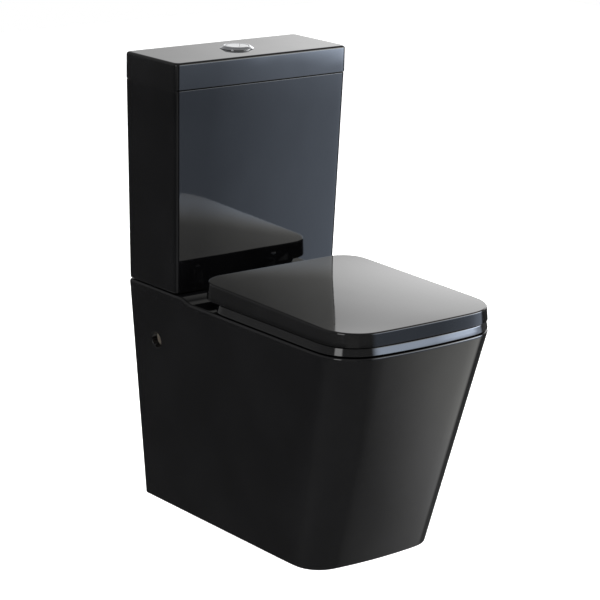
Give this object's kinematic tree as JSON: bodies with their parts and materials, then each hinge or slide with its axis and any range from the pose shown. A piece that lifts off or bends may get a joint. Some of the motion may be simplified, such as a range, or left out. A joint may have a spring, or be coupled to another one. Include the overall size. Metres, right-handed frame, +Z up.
{
  "type": "close coupled toilet",
  "caption": "Back to wall close coupled toilet with tapered skirted pan, tapered cistern with lift-off lid, dual flush button, hinged ring and wrap-over cover.",
  "frame": {"origin": "on the floor, under the middle of the footprint", "axes": "+Z up, -Y towards the front of the pan, +Y towards the wall, +X to the right of someone facing it"},
  "size_m": [0.3746, 0.62, 0.835],
  "materials": {
    "black_glaze": "high gloss vitreous glaze",
    "black_seat": "high gloss moulded thermoset",
    "chrome_trim": "polished chrome plate",
    "steel": "bright zinc or stainless",
    "brass": "turned brass",
    "rubber": "matt moulded rubber",
    "white_plastic": "satin moulded plastic",
    "blue_plastic": "satin moulded plastic",
    "pale_plastic": "translucent moulded plastic",
    "grey_plastic": "satin moulded plastic",
    "red_silicone": "satin silicone rubber"
  },
  "bodies": {
    "pan_and_cistern": {"pan": "black_glaze", "pan_bowl": "black_glaze", "pan_trapway": "black_glaze", "pan_inlet": "black_glaze", "cistern": "black_glaze", "cistern_cushions": "rubber", "hinge_post_left": "chrome_trim", "hinge_post_right": "chrome_trim", "hinge_pin_left": "steel", "hinge_pin_right": "steel", "hinge_studs": "steel", "hinge_sleeves": "rubber", "hinge_nuts": "steel", "flush_valve_base": "white_plastic", "flush_valve_gasket": "rubber", "flush_valve_backnut": "white_plastic", "doughnut_washer": "rubber", "flush_valve_tower": "white_plastic", "lever_pin": "steel", "coupling_bolts": "brass", "coupling_seals": "rubber", "coupling_washers": "steel", "coupling_wing_nuts": "brass", "fill_valve_body": "white_plastic", "fill_valve_head": "blue_plastic", "fill_valve_seal": "rubber", "fill_valve_backnut": "white_plastic", "fill_diaphragm": "rubber", "inlet_filter": "white_plastic", "float_arm_pin": "steel", "silencer_tube": "pale_plastic"},
    "cistern_lid": {"cistern_lid": "black_glaze", "button_bezel": "chrome_trim", "bezel_gasket": "rubber", "button_locknut": "white_plastic", "full_flush_spring": "steel", "half_flush_spring": "steel"},
    "full_flush_button": {"full_flush_button": "chrome_trim", "full_flush_rod": "white_plastic"},
    "half_flush_button": {"half_flush_button": "chrome_trim", "half_flush_rod": "white_plastic"},
    "seat_ring": {"seat_ring": "black_seat", "ring_buffers": "rubber", "ring_dampers": "grey_plastic"},
    "seat_cover": {"seat_cover": "black_seat", "cover_buffers": "rubber", "cover_dampers": "grey_plastic"},
    "full_flush_lever": {"full_flush_lever": "blue_plastic"},
    "half_flush_lever": {"half_flush_lever": "white_plastic"},
    "overflow_tube": {"overflow_tube": "pale_plastic", "flush_seal": "red_silicone", "full_flush_float": "pale_plastic"},
    "half_flush_float": {"half_flush_float": "blue_plastic"},
    "fill_float": {"fill_float": "pale_plastic", "float_link": "white_plastic"},
    "float_arm": {"float_arm": "white_plastic"}
  },
  "joints": [
    {"name": "seat_ring_hinge", "type": "hinge", "parent": "pan_and_cistern", "child": "seat_ring", "pos_m": [0, 0.092, 0.437], "axis": [1, 0, 0], "range_deg": [-94, 0]},
    {"name": "seat_cover_hinge", "type": "hinge", "parent": "seat_ring", "child": "seat_cover", "pos_m": [0, 0.092, 0.437], "axis": [-1, 0, 0], "range_deg": [0, 94]},
    {"name": "cistern_lid_lift", "type": "slide", "parent": "pan_and_cistern", "child": "cistern_lid", "axis": [0, 0, 1], "range_m": [0, 0.2]},
    {"name": "full_flush_press", "type": "slide", "parent": "cistern_lid", "child": "full_flush_button", "axis": [0, 0, -1], "range_m": [0, 0.004], "stiffness_N_per_m": 400, "springref_m": -0.01, "deforming": ["full_flush_spring"]},
    {"name": "half_flush_press", "type": "slide", "parent": "cistern_lid", "child": "half_flush_button", "axis": [0, 0, -1], "range_m": [0, 0.004], "stiffness_N_per_m": 400, "springref_m": -0.01, "deforming": ["half_flush_spring"]},
    {"name": "full_flush_lever_turn", "type": "hinge", "parent": "pan_and_cistern", "child": "full_flush_lever", "pos_m": [0, 0.235, 0.7097], "axis": [-0.788, 0.6157, 0], "range_deg": [0, 25.5]},
    {"name": "half_flush_lever_turn", "type": "hinge", "parent": "pan_and_cistern", "child": "half_flush_lever", "pos_m": [0, 0.235, 0.7097], "axis": [-0.788, 0.6157, 0], "range_deg": [0, 25.5]},
    {"name": "overflow_tube_lift", "type": "slide", "parent": "pan_and_cistern", "child": "overflow_tube", "axis": [0, 0, 1], "range_m": [0, 0.0103]},
    {"name": "half_flush_float_lift", "type": "slide", "parent": "pan_and_cistern", "child": "half_flush_float", "axis": [0, 0, 1], "range_m": [0, 0.0103]},
    {"name": "fill_float_rise", "type": "slide", "parent": "pan_and_cistern", "child": "fill_float", "axis": [0, 0, 1], "range_m": [0, 0.008]},
    {"name": "float_arm_turn", "type": "hinge", "parent": "pan_and_cistern", "child": "float_arm", "pos_m": [-0.123, 0.235, 0.7257], "axis": [0, 1, 0], "range_deg": [0, 13.9]}
  ],
  "couplings": [
    {"joint": "full_flush_lever_turn", "follows": "full_flush_press", "rad_per_m": 111.1},
    {"joint": "overflow_tube_lift", "follows": "full_flush_press", "ratio": 2.5556},
    {"joint": "half_flush_lever_turn", "follows": "half_flush_press", "rad_per_m": 111.1},
    {"joint": "half_flush_float_lift", "follows": "half_flush_press", "ratio": 2.5556},
    {"joint": "float_arm_turn", "follows": "fill_float_rise", "rad_per_m": 30.303}
  ]
}
